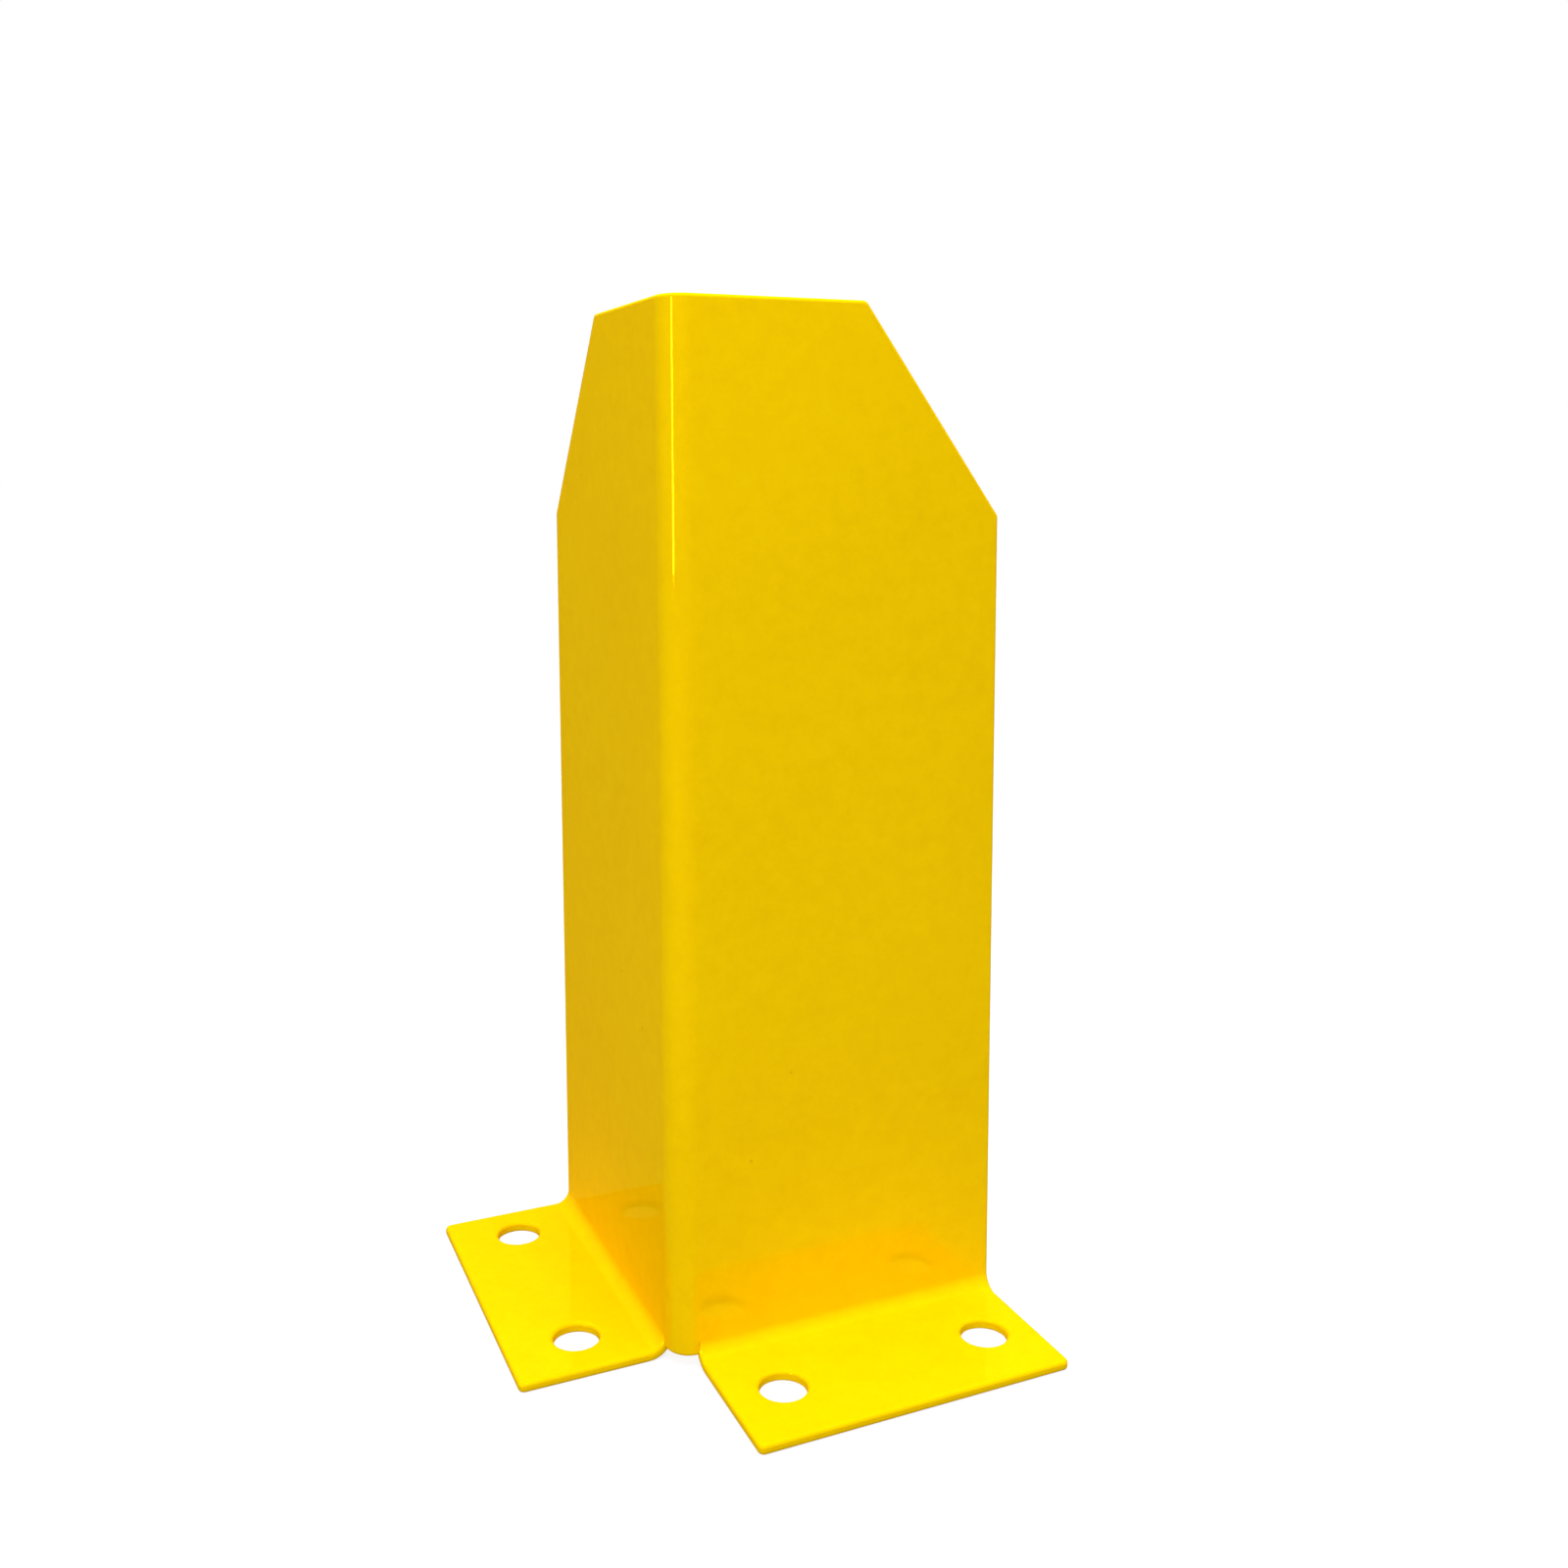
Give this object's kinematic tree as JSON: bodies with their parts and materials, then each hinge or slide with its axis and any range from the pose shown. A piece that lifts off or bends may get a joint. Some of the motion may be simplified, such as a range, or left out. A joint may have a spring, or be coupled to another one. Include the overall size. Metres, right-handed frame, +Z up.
{
  "type": "rack column guard",
  "caption": "Upright L of folded steel sheet with chamfered top corners and two drilled floor flanges; bolts down round the foot of a rack column to take knocks from trucks.",
  "frame": {"origin": "on the floor, under the middle of the square footprint", "axes": "+Z up along the corner fold; the outside corner of the L points to -X -Y, one wall and its flange run along X with the flange towards -Y, the other wall and its flange run along Y with the flange towards -X"},
  "size_m": [0.195, 0.195, 0.4],
  "materials": {
    "yellow_powder_coat": "glossy yellow powder coat with a faint orange peel, over steel sheet"
  },
  "bodies": {
    "root": {"column_guard": "yellow_powder_coat"}
  },
  "joints": []
}
